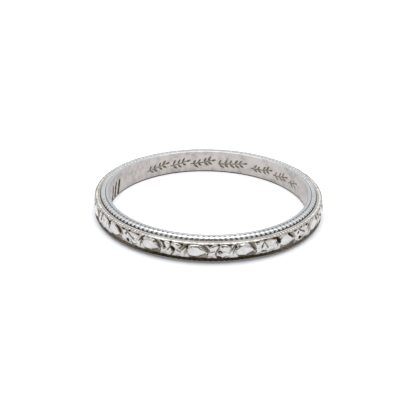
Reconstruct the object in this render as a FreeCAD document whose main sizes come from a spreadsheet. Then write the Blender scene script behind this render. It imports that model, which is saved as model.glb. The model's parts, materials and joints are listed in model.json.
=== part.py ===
import FreeCAD, Part

import os

import Sketcher

# A fabricated wedding band, in millimetres. Its axis is +Z and it stands on its lower edge at z = 0.
# Four hoops are bent from strip or beaded wire, closed by a soldered seam each, and soldered together.

DIMENSIONS = {
    # the band as a whole
    "finger_radius": 8.675,
    "outer_radius": 10.0,
    "band_height": 2.1,
    # the plain sleeve against the finger
    "sleeve_radius": 8.95,
    "bevel_width": 0.105,
    "bevel_height": 0.12,
    # the half-round beaded wire on each rim
    "wire_width": 0.45,
    "wire_height": 0.35,
    "bead_count": 135,
    "bead_notch_radius": 0.11,
    # the groove that parts the wire from the belt, and the solder that runs along its floor
    "groove_width": 0.06,
    "fillet_height": 0.05,
    # the belt: shoulders that fall outwards, cheeks, and a slightly domed face between them
    "shoulder_depth": 0.22,
    "shoulder_width": 0.3,
    "shoulder_fall": 0.1,
    "cheek_height": 0.26,
    "cheek_width": 0.19,
    # the belt's engraving: one almond boss and one four-petal flower in each repeat
    "repeats": 16,
    "engraving_depth": 0.12,
    "ornament_lift": 0.1,
    "almond_angle": -5.0,
    "almond_length": 1.4,
    "almond_width": 0.86,
    "almond_cut": 0.09,
    "flower_angle": 5.3,
    "petal_length": 0.74,
    "petal_width": 0.3,
    "petal_spread": 0.42,
    "petal_tilt": 40,
    "dot_radius": 0.09,
    "dot_height": 0.47,
    # the soldered seams, and where each lies round the band, anticlockwise from +X
    "seam_width": 0.08,
    "belt_seam_place": 90,
    "sleeve_seam_place": 60,
    "upper_wire_seam_place": 120,
    "lower_wire_seam_place": 75,
}

BELT_INNER = "Dimensions.sleeve_radius"
WIRE_OUTER = "(Dimensions.sleeve_radius + Dimensions.wire_width)"
GROOVE_OUTER = "(" + WIRE_OUTER + " + Dimensions.groove_width)"
MID_HEIGHT = "(Dimensions.band_height / 2)"
ORNAMENT_HEIGHT = "(Dimensions.band_height / 2 + Dimensions.ornament_lift)"
WIRE_SEAT = "(Dimensions.band_height - Dimensions.wire_height)"
SEAM_ANGLE = "(Dimensions.seam_width / Dimensions.outer_radius * 180 / pi)"

doc = FreeCAD.newDocument("WeddingBand")


def make_sheet():
    """The driving dimensions, one aliased cell each."""
    sheet = doc.addObject("Spreadsheet::Sheet", "Dimensions")
    for row, (alias, value) in enumerate(DIMENSIONS.items(), start=1):
        sheet.set(f"A{row}", alias)
        sheet.set(f"B{row}", str(value))
        sheet.setAlias(f"B{row}", alias)
    doc.recompute()
    return sheet


def value_of(expression):
    """An expression over the sheet, as a plain number."""
    return float(sheet.evalExpression(expression))


def origin_feature(body, role):
    """One of the body's own origin planes or axes, by its role."""
    return next(f for f in body.Origin.OriginFeatures if f.Role == role)


def new_body(label):
    body = doc.addObject("PartDesign::Body", label)
    body.Label = label
    return body


def new_sketch(body, name, plane):
    sketch = body.newObject("Sketcher::SketchObject", name)
    sketch.AttachmentSupport = [(origin_feature(body, plane), "")]
    sketch.MapMode = "FlatFace"
    return sketch


def pin(sketch, geometry, vertex, across=None, up=None):
    """Dimension a vertex from the sketch's origin, bound to the sheet."""
    for kind, expression in (("DistanceX", across), ("DistanceY", up)):
        if expression is None:
            continue
        index = sketch.addConstraint(
            Sketcher.Constraint(kind, -1, 1, geometry, vertex, value_of(expression))
        )
        sketch.setExpression(f"Constraints[{index}]", expression)


def size(sketch, kind, geometry, expression):
    """Dimension a radius, bound to the sheet."""
    index = sketch.addConstraint(Sketcher.Constraint(kind, geometry, value_of(expression)))
    sketch.setExpression(f"Constraints[{index}]", expression)


def point(across, up):
    return FreeCAD.Vector(value_of(across), value_of(up), 0)


def chain(sketch, corners):
    """Straight edges through the corners, each corner an (across, up) pair of expressions."""
    first = sketch.GeometryCount
    for start, end in zip(corners, corners[1:]):
        edge = sketch.addGeometry(Part.LineSegment(point(*start), point(*end)))
        pin(sketch, edge, 1, *start)
        if edge > first:
            sketch.addConstraint(Sketcher.Constraint("Coincident", edge - 1, 2, edge, 1))
    return first, sketch.GeometryCount - 1


def arc_between(sketch, start, middle, end):
    return sketch.addGeometry(Part.Arc(point(*start), point(*middle), point(*end)))


def join(sketch, one, one_vertex, other, other_vertex):
    sketch.addConstraint(
        Sketcher.Constraint("Coincident", one, one_vertex, other, other_vertex)
    )


# Each section lies in the body's XZ plane: across is the radius and up is the height.


def sleeve_section(sketch):
    """A flat strip with both inner edges bevelled."""
    inner = "Dimensions.finger_radius"
    bevel = "Dimensions.finger_radius + Dimensions.bevel_width"
    outer = "Dimensions.sleeve_radius"
    top = "Dimensions.band_height"
    corners = [
        (inner, "Dimensions.bevel_height"),
        (bevel, "0"),
        (outer, "0"),
        (outer, top),
        (bevel, top),
        (inner, top + " - Dimensions.bevel_height"),
    ]
    first, last = chain(sketch, corners + corners[:1])
    join(sketch, last, 2, first, 1)


def belt_section(sketch):
    """A rebate for each wire, a sloping shoulder and cheek above and below, and a domed face."""
    shoulder = "(" + GROOVE_OUTER + " + Dimensions.shoulder_width)"
    cheek = "(" + shoulder + " + Dimensions.cheek_width)"
    rise_seat = "(" + WIRE_SEAT + " - " + MID_HEIGHT + ")"
    rise_top = "(" + MID_HEIGHT + " - Dimensions.shoulder_depth)"
    rise_edge = "(" + rise_top + " - Dimensions.shoulder_fall)"
    rise_face = "(" + rise_edge + " - Dimensions.cheek_height)"
    climb = [
        (BELT_INNER, rise_seat),
        (GROOVE_OUTER, rise_seat),
        (GROOVE_OUTER, rise_top),
        (shoulder, rise_edge),
        (cheek, rise_face),
    ]
    upper = [(across, MID_HEIGHT + " + " + rise) for across, rise in reversed(climb)]
    lower = [(across, MID_HEIGHT + " - " + rise) for across, rise in climb]
    first, last = chain(sketch, upper + lower)
    pin(sketch, last, 2, *lower[-1])
    face = arc_between(sketch, lower[-1], ("Dimensions.outer_radius", MID_HEIGHT), upper[0])
    join(sketch, last, 2, face, 1)
    join(sketch, face, 2, first, 1)
    crown = "(Dimensions.outer_radius - " + cheek + ")"
    size(sketch, "Radius", face, f"({rise_face} ^ 2 + {crown} ^ 2) / (2 * {crown})")


def wire_section(sketch):
    """A half-round wire, flat side down on its seat."""
    inner = "Dimensions.sleeve_radius"
    top = "Dimensions.band_height"
    radius = "Dimensions.wire_width / 2"
    spring = top + " - " + radius
    corners = [(inner, spring), (inner, WIRE_SEAT), (WIRE_OUTER, WIRE_SEAT), (WIRE_OUTER, spring)]
    first, last = chain(sketch, corners)
    pin(sketch, last, 2, *corners[-1])
    crest = arc_between(sketch, corners[-1], (inner + " + " + radius, top), corners[0])
    join(sketch, last, 2, crest, 1)
    join(sketch, crest, 2, first, 1)
    pin(sketch, crest, 3, up=spring)


def fillet_section(sketch):
    """Solder on the groove's floor, level with the wire's seat."""
    top = WIRE_SEAT + " + Dimensions.fillet_height"
    corners = [
        (WIRE_OUTER, WIRE_SEAT),
        (GROOVE_OUTER, WIRE_SEAT),
        (GROOVE_OUTER, top),
        (WIRE_OUTER, top),
    ]
    first, last = chain(sketch, corners + corners[:1])
    join(sketch, last, 2, first, 1)


def sweep(body, section, angle):
    """The section turned about the band's axis, evenly either side of the body's own +X."""
    sketch = new_sketch(body, body.Name + "_section", "XZ_Plane")
    section(sketch)
    turned = body.newObject("PartDesign::Revolution", body.Name + "_turned")
    turned.Profile = sketch
    turned.ReferenceAxis = (sketch, ["V_Axis"])
    turned.Midplane = True
    turned.setExpression("Angle", angle)
    doc.recompute()
    return turned


def turn_about_axis(item, degrees):
    """Turn a whole hoop or seam about the band's axis."""
    up = FreeCAD.Vector(0, 0, 1)
    item.Placement = FreeCAD.Placement(FreeCAD.Vector(), FreeCAD.Rotation(up, value_of(degrees)))
    item.setExpression("Placement.Rotation.Angle", degrees)


def open_hoop(label, section, seam_place):
    """A strip or wire bent round, with the gap for its seam at seam_place."""
    body = new_body(label)
    sweep(body, section, "360 - " + SEAM_ANGLE)
    turn_about_axis(body, seam_place + " - 180")
    return body


def solder_seam(label, section, seam_place):
    """The solder that fills a hoop's gap, flush with it."""
    body = new_body(label)
    sweep(body, section, SEAM_ANGLE)
    turn_about_axis(body, seam_place)
    return body


def lens(sketch, centre, length, width, tilt):
    """A pointed oval: two equal arcs between the ends of its long axis, which leans by tilt."""
    across, up = centre
    run = f"({length}) / 2 * cos({tilt})"
    rise = f"({length}) / 2 * sin({tilt})"
    bulge_run = f"({width}) / 2 * sin({tilt})"
    bulge_rise = f"({width}) / 2 * cos({tilt})"
    left = (f"{across} - {run}", f"{up} - {rise}")
    right = (f"{across} + {run}", f"{up} + {rise}")
    below = (f"{across} + {bulge_run}", f"{up} - {bulge_rise}")
    above = (f"{across} - {bulge_run}", f"{up} + {bulge_rise}")
    radius = f"(({length}) ^ 2 + ({width}) ^ 2) / (4 * ({width}))"
    for start, middle, end in ((left, below, right), (right, above, left)):
        arc = arc_between(sketch, start, middle, end)
        pin(sketch, arc, 1, *start)
        size(sketch, "Radius", arc, radius)
    join(sketch, arc - 1, 2, arc, 1)
    join(sketch, arc, 2, arc - 1, 1)


def facing_sketch(body, name, place):
    """A sketch on the engraving's floor that faces outwards, place degrees round from the front."""
    sketch = new_sketch(body, name, "XZ_Plane")
    floor = "(Dimensions.outer_radius - Dimensions.engraving_depth)"
    turn = FreeCAD.Rotation(FreeCAD.Vector(0, 1, 0), value_of(place))
    sketch.AttachmentOffset = FreeCAD.Placement(FreeCAD.Vector(), turn)
    sketch.setExpression("AttachmentOffset.Base.x", f"{floor} * sin({place})")
    sketch.setExpression("AttachmentOffset.Base.z", f"{floor} * cos({place})")
    sketch.setExpression("AttachmentOffset.Rotation.Angle", place)
    return sketch


def cut_outwards(body, sketch, length):
    """Cut away everything outside the sketch's plane, under the sketch's outlines."""
    before = body.Shape.Volume
    cut = body.newObject("PartDesign::Pocket", sketch.Name + "_cut")
    cut.Profile = sketch
    cut.Reversed = True
    cut.setExpression("Length", length)
    doc.recompute()
    if body.Shape.Volume >= before:
        raise RuntimeError(f"{cut.Name} cuts nothing")
    return cut


def repeat_round(body, cuts, count):
    """Repeat the cuts evenly round the band's axis."""
    pattern = body.newObject("PartDesign::PolarPattern", body.Name + "_round")
    pattern.Originals = cuts
    pattern.Axis = (origin_feature(body, "Z_Axis"), [""])
    pattern.Angle = 360
    pattern.setExpression("Occurrences", count)
    body.Tip = pattern
    doc.recompute()


def almond_outline(body):
    """The groove round one boss, between two pointed ovals."""
    sketch = facing_sketch(body, "almond_outline", "Dimensions.almond_angle")
    centre = ("0", ORNAMENT_HEIGHT)
    length = "Dimensions.almond_length"
    width = "Dimensions.almond_width"
    lens(sketch, centre, length, width, "0")
    inner_length = length + " - 3 * Dimensions.almond_cut"
    inner_width = width + " - 2 * Dimensions.almond_cut"
    lens(sketch, centre, inner_length, inner_width, "0")
    return cut_outwards(body, sketch, "Dimensions.outer_radius / 10")


def flower(body):
    """Four petals set crosswise, and the drilled dot above them."""
    sketch = facing_sketch(body, "flower", "Dimensions.flower_angle")
    spread = "Dimensions.petal_spread"
    for side in (0, 180):
        for lean in ("Dimensions.petal_tilt", "-Dimensions.petal_tilt"):
            tilt = f"{side} + {lean}"
            centre = (f"{spread} * cos({tilt})", f"{ORNAMENT_HEIGHT} + {spread} * sin({tilt})")
            lens(sketch, centre, "Dimensions.petal_length", "Dimensions.petal_width", tilt)
    dot_centre = ("0", ORNAMENT_HEIGHT + " + Dimensions.dot_height")
    up = FreeCAD.Vector(0, 0, 1)
    dot = sketch.addGeometry(Part.Circle(point(*dot_centre), up, value_of("Dimensions.dot_radius")))
    pin(sketch, dot, 3, *dot_centre)
    size(sketch, "Radius", dot, "Dimensions.dot_radius")
    return cut_outwards(body, sketch, "Dimensions.outer_radius / 10")


def engraved_belt():
    body = open_hoop("engraved_belt", belt_section, "Dimensions.belt_seam_place")
    cuts = [almond_outline(body), flower(body)]
    repeat_round(body, cuts, "Dimensions.repeats")
    return body


def bead_notches(name):
    """Short round bars across the wire's crest, one between each bead and the next."""
    radius = value_of("Dimensions.bead_notch_radius")
    count = int(value_of("Dimensions.bead_count"))
    start = FreeCAD.Vector(value_of(BELT_INNER) - radius, 0, value_of("Dimensions.band_height"))
    length = value_of(WIRE_OUTER + " - " + BELT_INNER) + 2 * radius
    outwards = FreeCAD.Vector(1, 0, 0)
    bars = []
    for number in range(count):
        bar = Part.makeCylinder(radius, length, start, outwards)
        bar.rotate(FreeCAD.Vector(), FreeCAD.Vector(0, 0, 1), 360 * number / count)
        bars.append(bar)
    notches = doc.addObject("Part::Feature", name)
    notches.Shape = Part.makeCompound(bars)
    return notches


def milgrain_wire(label, seam_place):
    """A half-round wire hoop, notched all round into beads."""
    blank = new_body(label + "_blank")
    sweep(blank, wire_section, "360 - " + SEAM_ANGLE)
    beaded = doc.addObject("Part::Cut", label)
    beaded.Label = label
    beaded.Base = blank
    beaded.Tool = bead_notches(label + "_notches")
    turn_about_axis(beaded, seam_place + " - 180")
    doc.recompute()
    return beaded


def fillet_ring(label):
    body = new_body(label)
    sweep(body, fillet_section, "360")
    return body


def turn_over(body):
    """Turn the body over about X, so that what was made for the upper rim sits at the lower one."""
    spin = body.Placement.Rotation
    over = FreeCAD.Rotation(FreeCAD.Vector(1, 0, 0), 180)
    lift = FreeCAD.Vector(0, 0, value_of("Dimensions.band_height"))
    body.setExpression("Placement.Rotation.Angle", None)
    body.Placement = FreeCAD.Placement(lift, over.multiply(spin))
    body.setExpression("Placement.Base.z", "Dimensions.band_height")
    return body


def check(parts):
    """Stop if any object failed, or any part is empty, broken or in more than one piece."""
    for item in doc.Objects:
        if {"Invalid", "Error"} & set(item.State):
            raise RuntimeError(f"{item.Name} failed: {item.State}")
    for body in parts:
        shape = body.Shape
        if shape.isNull() or not shape.isValid() or len(shape.Solids) != 1:
            raise RuntimeError(f"{body.Label} isn't one valid solid")


sheet = make_sheet()
upper_wire = "Dimensions.upper_wire_seam_place"
lower_wire = "Dimensions.lower_wire_seam_place"
parts = [
    open_hoop("liner_sleeve", sleeve_section, "Dimensions.sleeve_seam_place"),
    engraved_belt(),
    milgrain_wire("upper_milgrain_wire", upper_wire),
    turn_over(milgrain_wire("lower_milgrain_wire", lower_wire)),
    solder_seam("liner_solder_seam", sleeve_section, "Dimensions.sleeve_seam_place"),
    solder_seam("belt_solder_seam", belt_section, "Dimensions.belt_seam_place"),
    solder_seam("upper_wire_solder_seam", wire_section, upper_wire),
    turn_over(solder_seam("lower_wire_solder_seam", wire_section, lower_wire)),
    fillet_ring("upper_solder_fillet"),
    turn_over(fillet_ring("lower_solder_fillet")),
]
doc.recompute()
check(parts)

os.makedirs("parts", exist_ok=True)
for body in parts:
    body.Shape.exportStep(f"parts/{body.Label}.step")
    print(body.Label, round(body.Shape.Volume, 4), "mm3")
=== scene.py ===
import json
import math

import bpy
import numpy as np
from mathutils import Matrix, Vector


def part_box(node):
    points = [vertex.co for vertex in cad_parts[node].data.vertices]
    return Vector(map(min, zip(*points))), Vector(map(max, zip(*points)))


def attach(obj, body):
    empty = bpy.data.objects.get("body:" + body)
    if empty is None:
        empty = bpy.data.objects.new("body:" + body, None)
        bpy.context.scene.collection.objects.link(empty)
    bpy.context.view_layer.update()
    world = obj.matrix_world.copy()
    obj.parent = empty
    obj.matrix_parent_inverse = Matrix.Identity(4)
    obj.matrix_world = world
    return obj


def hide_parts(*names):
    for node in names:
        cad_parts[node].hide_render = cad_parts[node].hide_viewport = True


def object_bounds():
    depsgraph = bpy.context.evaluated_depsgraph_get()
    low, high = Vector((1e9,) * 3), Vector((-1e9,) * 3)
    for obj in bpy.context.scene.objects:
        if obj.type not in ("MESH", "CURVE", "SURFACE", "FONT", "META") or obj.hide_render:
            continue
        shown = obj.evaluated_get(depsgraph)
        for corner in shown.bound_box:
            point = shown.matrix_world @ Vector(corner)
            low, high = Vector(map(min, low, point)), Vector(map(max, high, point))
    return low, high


# A narrow white-gold wedding band standing on its edge face: a plain sleeve inside, a beaded
# (milgrain) wire round each rim, and an engraved belt outside. The meshes are in metres.
# Round the band, an angle of 0 is the front (-Y) and angles grow towards +X.

MM = 0.001
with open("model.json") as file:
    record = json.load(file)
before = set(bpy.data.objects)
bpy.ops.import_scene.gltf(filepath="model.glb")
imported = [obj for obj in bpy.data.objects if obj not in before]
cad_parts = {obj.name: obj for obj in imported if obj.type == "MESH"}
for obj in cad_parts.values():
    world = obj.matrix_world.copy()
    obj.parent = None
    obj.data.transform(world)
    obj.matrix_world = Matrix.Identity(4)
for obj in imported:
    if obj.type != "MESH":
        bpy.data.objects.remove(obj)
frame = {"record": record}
cad_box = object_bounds()

# ---- sizes read from the frame ----


def outside_radius(node):
    """A hoop's outer radius. Its box may stop a little short of it on the side of its seam."""
    low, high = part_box(node)
    return max(-low[0], high[0], -low[1], high[1])


def angle_of(node):
    """Where a seam lies round the band."""
    low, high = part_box(node)
    return math.atan2((low[0] + high[0]) / 2, -(low[1] + high[1]) / 2)


FINGER = next(m for m in frame["record"]["mounts"] if m["name"] == "finger_bore")
BORE_R = FINGER["dims"]["r_mm"] * MM
BORE_HALF = FINGER["dims"]["length_mm"] * MM / 2
BAND_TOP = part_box("liner_sleeve")[1][2]
MID = BAND_TOP / 2
SLEEVE_R = outside_radius("liner_sleeve")
WIRE_R = outside_radius("upper_milgrain_wire")
GROOVE_R = outside_radius("upper_solder_fillet")
BELT_R = outside_radius("engraved_belt")
BELT_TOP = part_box("engraved_belt")[1][2]
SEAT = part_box("upper_milgrain_wire")[0][2]
FILLET_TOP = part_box("upper_solder_fillet")[1][2]
# half of a solder seam's width, as an angle
SEAM_HALF = 0.04 * MM / BELT_R

# ---- curves and unevenness ----

# The front is worn smooth within the first angle, and the band is whole beyond the second.
WORN_WITHIN = math.radians(18)
WHOLE_BEYOND = math.radians(42)


def smooth(value):
    value = np.clip(value, 0, 1)
    return value * value * (3 - 2 * value)


def unworn(angles):
    """0 at the front of the band, where wear has rubbed it smooth, and 1 on its sides and back."""
    turn = np.abs((angles + math.pi) % (2 * math.pi) - math.pi)
    return smooth((turn - WORN_WITHIN) / (WHOLE_BEYOND - WORN_WITHIN))


def rounded(corners, rounds=5):
    """The polyline with its corners cut again and again, until it is a smooth curve."""
    for _ in range(rounds):
        near = corners[:-1] * 0.75 + corners[1:] * 0.25
        far = corners[:-1] * 0.25 + corners[1:] * 0.75
        inner = np.stack([near, far], axis=1).reshape(-1, 2)
        corners = np.concatenate([corners[:1], inner, corners[-1:]])
    return corners


def lengths_along(line):
    """How far along a polyline each of its points lies."""
    return np.concatenate([[0], np.cumsum(np.hypot(*np.diff(line, axis=0).T))])


def points_at(line, lengths, wanted):
    """The points of a polyline at some wanted lengths along it."""
    return np.stack([np.interp(wanted, lengths, line[:, axis]) for axis in (0, 1)], axis=-1)


def curve_points(points, steps=10):
    """A smooth curve that starts and ends at the outer points, pulled by those between.
    Two points are a straight line, and many are a curve already."""
    points = np.array(points, float)
    if len(points) == 2 or len(points) > steps:
        return points
    along = np.linspace(0, 1, steps + 1)[:, None]
    degree = len(points) - 1
    total = np.zeros((steps + 1, 2))
    for k, point in enumerate(points):
        total += math.comb(degree, k) * along**k * (1 - along) ** (degree - k) * point
    return total


def uneven(angles, up, seed, around_count, up_count):
    """Soft seeded unevenness over a hoop, between about -1 and 1, that closes on itself."""
    rng = np.random.default_rng(seed)
    lattice = rng.uniform(-1, 1, (around_count, up_count))
    a = (angles % (2 * math.pi)) / (2 * math.pi) * around_count
    b = (up - up.min()) / (up.max() - up.min() + 1e-9) * (up_count - 1.001)
    i, j = np.floor(a).astype(int), np.floor(b).astype(int)
    u, v = smooth(a - i)[:, None], smooth(b - j)[None, :]
    left, right = i % around_count, (i + 1) % around_count
    low = lattice[np.ix_(left, j)] * (1 - u) + lattice[np.ix_(right, j)] * u
    high = lattice[np.ix_(left, j + 1)] * (1 - u) + lattice[np.ix_(right, j + 1)] * u
    return low * (1 - v) + high * v


def softened(grid):
    """The grid with every point mixed with its neighbours, so that slanting cuts keep even edges."""
    for axis in (0, 1):
        grid = np.swapaxes(grid, 0, axis)
        before = np.concatenate([grid[:1], grid[:-1]])
        after = np.concatenate([grid[1:], grid[-1:]])
        grid = np.swapaxes(0.5 * grid + 0.25 * (before + after), 0, axis)
    return grid


# ---- meshes turned round the band's axis ----

SHARP = math.radians(35)
SEAM_COLUMNS = 4


def hoop(name, angles, sections, recess, closed=False):
    """A solid swept round the axis. sections[i, j] is (radius, height), anticlockwise in j.
    An open hoop is capped at both ends. recess, from 0 up, says how dark a point is: how deep in a
    cut it lies, and on the belt's underside and the lower rims how much painted shade it has."""
    columns, rows = sections.shape[:2]
    turn = angles[:, None]
    radius, height = sections[..., 0], sections[..., 1]
    points = np.stack([radius * np.sin(turn), -radius * np.cos(turn), height], axis=-1)
    here = np.arange(columns if closed else columns - 1)
    beyond = (here + 1) % columns
    row = np.arange(rows)
    above = (row + 1) % rows
    corners = [
        here[:, None] * rows + row,
        beyond[:, None] * rows + row,
        beyond[:, None] * rows + above,
        here[:, None] * rows + above,
    ]
    faces = np.stack(corners, axis=-1).reshape(-1, 4).tolist()
    if not closed:
        faces.append(list(range(rows)))
        faces.append([(columns - 1) * rows + j for j in reversed(range(rows))])
    mesh = bpy.data.meshes.new(name)
    mesh.from_pydata(points.reshape(-1, 3).tolist(), [], faces)
    mesh.shade_smooth()
    mesh.set_sharp_from_angle(angle=SHARP)
    depth = mesh.attributes.new("recess", "FLOAT", "POINT")
    depth.data.foreach_set("value", recess.reshape(-1).astype(np.float32))
    made = bpy.data.objects.new(name, mesh)
    bpy.context.scene.collection.objects.link(made)
    return made


def open_span(seam, columns):
    """Angles all the way round from one side of a seam to its other side."""
    return np.linspace(seam + SEAM_HALF, seam + 2 * math.pi - SEAM_HALF, columns)


def hoop_and_seam(name, seam, angles, sections_at):
    """A hoop and the solder that closes it, which continues the hoop's own surface."""
    seam_angles = np.linspace(seam - SEAM_HALF, seam + SEAM_HALF, SEAM_COLUMNS)
    pieces = []
    for part, span in ((name, angles), (name + "_seam", seam_angles)):
        sections, recess = sections_at(span)
        pieces.append(hoop(part, span, sections, recess))
    return pieces


def upside_down(sections):
    """The same sections at the band's lower rim, still anticlockwise."""
    sections = sections[:, ::-1].copy()
    sections[..., 1] = 2 * MID - sections[..., 1]
    return sections


def repeated(corners, columns):
    """One short list of (radius, height) corners, the same at every column."""
    return np.broadcast_to(np.array(corners), (columns, len(corners), 2))


# ---- cuts made with a graver ----

# A surface is a grid of places across (round the band) and up (along the section), in millimetres.
# Each cut lowers the grid's height and raises its recess, which says how dark a point lies.
BURR_WIDTH = 0.045
BURR_HEIGHT = 0.018
STAIN_SPREAD = 2.4
DOT_SLOPE = 1.9
SCOOP_MARGIN = 0.02


class Surface:
    """A grid that cuts are made in: what is raised, what is cut away, and how dark it is."""

    def __init__(self, across, up):
        self.across = across
        self.up = up
        self.raised = np.zeros((len(across), len(up)))
        self.height = np.zeros_like(self.raised)
        self.recess = np.zeros_like(self.raised)

    def window(self, points, margin=0.0):
        """The part of the grid near some points: its index and its two coordinates, or None."""
        points = np.array(points, float)
        low = points.min(axis=0) - margin
        high = points.max(axis=0) + margin
        columns = np.nonzero((self.across > low[0]) & (self.across < high[0]))[0]
        rows = np.nonzero((self.up > low[1]) & (self.up < high[1]))[0]
        if not len(columns) or not len(rows):
            return None
        return np.ix_(columns, rows), self.across[columns][:, None], self.up[rows][None, :]

    def sink(self, place, share, depth, dark):
        """Lower a window by its share of a depth. The stain fills the cut almost to its edge."""
        self.height[place] = np.minimum(self.height[place], -depth * share)
        self.recess[place] = np.maximum(self.recess[place], dark * smooth(share * STAIN_SPREAD))

    def line(self, points, widths, depth, dark):
        """A V groove along a curve. widths are its half widths at the curve's start and end."""
        path = curve_points(points)
        near = self.window(path, max(widths) + BURR_WIDTH)
        if near is None:
            return
        place, x, y = near
        share = np.zeros((x.shape[0], y.shape[1]))
        burr = np.zeros_like(share)
        spans = len(path) - 1
        for k in range(spans):
            start, run = path[k], path[k + 1] - path[k]
            along = ((x - start[0]) * run[0] + (y - start[1]) * run[1]) / max(run @ run, 1e-12)
            along = np.clip(along, 0, 1)
            away = np.hypot(x - start[0] - along * run[0], y - start[1] - along * run[1])
            half = widths[0] + (widths[1] - widths[0]) * (k + along) / spans
            share = np.maximum(share, np.clip(1 - away / half, 0, 1))
            burr = np.maximum(burr, np.clip(1 - np.abs(away - half) / BURR_WIDTH, 0, 1))
        self.raised[place] += BURR_HEIGHT * burr * (share == 0)
        self.sink(place, share, depth, dark)

    def scoop(self, corners, slope, depth, dark):
        """A cut under a convex outline, its walls sloping in to a flat floor."""
        corners = np.array(corners, float)
        near = self.window(corners, SCOOP_MARGIN)
        if near is None:
            return
        place, x, y = near
        inside = np.full((x.shape[0], y.shape[1]), np.inf)
        following = np.roll(corners, -1, axis=0)
        turn = np.sum(corners[:, 0] * following[:, 1] - corners[:, 1] * following[:, 0])
        for start, end in zip(corners, following):
            run = (end - start) / np.hypot(*(end - start)) * np.sign(turn)
            inside = np.minimum(inside, run[0] * (y - start[1]) - run[1] * (x - start[0]))
        self.sink(place, np.clip(inside * slope / depth, 0, 1), depth, dark)

    def dot(self, centre, radius, depth, dark):
        """A drilled dot with a flat floor."""
        near = self.window([centre], radius)
        if near is None:
            return
        place, x, y = near
        away = np.hypot(x - centre[0], y - centre[1]) / radius
        self.sink(place, np.clip(DOT_SLOPE * (1 - away), 0, 1), depth, dark)

    def leaf(self, centre, length, width, tilt, depth, dark):
        """A pointed oval cut, deepest along its middle. tilt is in radians."""
        near = self.window([centre], length)
        if near is None:
            return
        place, x, y = near
        dx, dy = x - centre[0], y - centre[1]
        along = (dx * math.cos(tilt) + dy * math.sin(tilt)) / (length / 2)
        beside = (-dx * math.sin(tilt) + dy * math.cos(tilt)) / (width / 2)
        self.sink(place, np.clip(1 - along**2 - np.abs(beside), 0, 1), depth, dark)


# ---- the belt's ornament: a boss and a flower in each repeat, in millimetres from their middles ----

REPEATS = 16
PERIOD = 2 * math.pi * BELT_R / REPEATS / MM
FIRST_BOSS = math.radians(-5.0)
FLOWER_AT = 1.80
ORNAMENT_TOP = 0.9
ORNAMENT_BOTTOM = -0.7

ALMOND_LIFT = 0.105
ALMOND_LEFT = -0.70
ALMOND_RIGHT = 0.76
ALMOND_FULLNESS = 0.98
BOSS_REACH = 0.9
BOSS_HEIGHT = 0.06
BOSS_SLOPE = 0.06
OUTLINE_HALF = 0.07
OUTLINE_DEPTH = 0.04
OUTLINE_ABOVE = 0.8
OUTLINE_BELOW = 0.75
FACET_RUN = 0.24
FACET_FALL = 0.14
FACET_START = 0.10
FACET_END = 0.12
FACET_STOPS = (0.25, 0.5)
FACET_EDGE = 0.03
FACET_EDGE_STAIN = 0.45

FLOWER_REACH = 1.1
# a petal's middle and its tilt in degrees
PETALS = [(-0.42, 0.44, 10), (0.50, 0.42, -8), (-0.60, -0.10, 35), (0.60, -0.12, -35)]
PETAL_HALF_LENGTH = 0.42
PETAL_HALF_WIDTH = 0.20
PETAL_HEIGHT = 0.055
PEARL = (0.10, -0.14)
PEARL_RADIUS = 0.14
PEARL_HEIGHT = 0.07

# A line is its points, its half widths at both ends, its depth and its darkness.
BOSS_LINES = [
    # the fan of hatching behind the round end
    ([(-0.60, 0.70), (-0.90, 0.46), (-1.14, 0.14)], (0.11, 0.045), 0.12, 0.95),
    ([(-0.76, 0.40), (-0.90, 0.16), (-0.98, -0.08)], (0.07, 0.04), 0.09, 0.7),
    ([(-0.78, 0.10), (-0.92, -0.12), (-0.98, -0.34)], (0.06, 0.04), 0.08, 0.7),
    # the broad slanting cut beside the tip: its two edges
    ([(0.36, 0.70), (0.66, 0.50), (0.92, 0.08)], (0.075, 0.06), 0.12, 0.95),
    ([(0.62, 0.70), (0.88, 0.46), (1.06, 0.14)], (0.055, 0.045), 0.10, 0.8),
    # the dark line over the almond
    ([(-0.64, 0.73), (-0.2, 0.76), (0.2, 0.73)], (0.05, 0.04), 0.06, 0.8),
]
# Some bosses have two deep short cuts more, behind the round end and over the tip.
SLASHED = (2, 5, 8, 14)
SLASHES = [
    ([(-0.98, 0.60), (-0.86, 0.42), (-0.74, 0.20)], (0.13, 0.13), 0.16, 1.9),
    ([(0.22, 0.62), (0.45, 0.44), (0.72, 0.20)], (0.10, 0.09), 0.14, 1.9),
]
# A scoop is its corners, the slope of its walls, its depth and its darkness.
BOSS_SCOOPS = [
    # the broad slanting cut, and the hollows under the almond and its tip, whose dark fill is partly
    # stain in the cuts and partly painted shade for the boss's down-facing lower side
    ([(0.36, 0.68), (0.64, 0.70), (1.06, 0.12), (0.88, 0.02)], 1.2, 0.085, 0.55),
    ([(-0.62, -0.22), (0.10, -0.26), (0.10, -0.60), (-0.58, -0.60)], 1.0, 0.07, 0.62),
    ([(0.10, -0.24), (0.66, -0.02), (1.02, -0.26), (0.80, -0.60), (0.10, -0.60)], 1.0, 0.07, 0.62),
]
FLOWER_SCOOPS = [
    # wedges let in below the border on both sides of the dot
    ([(-0.96, 0.72), (-0.30, 0.68), (-0.56, 0.58), (-0.72, 0.38)], 1.8, 0.15, 1.6),
    ([(0.36, 0.68), (1.10, 0.72), (0.96, 0.44), (0.80, 0.56)], 1.8, 0.14, 1.6),
    # and their echoes along the lower border
    ([(-0.98, -0.62), (-0.34, -0.62), (-0.66, -0.42)], 1.4, 0.10, 1.3),
    ([(0.38, -0.62), (1.02, -0.62), (0.78, -0.40)], 1.4, 0.10, 1.3),
]
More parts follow.
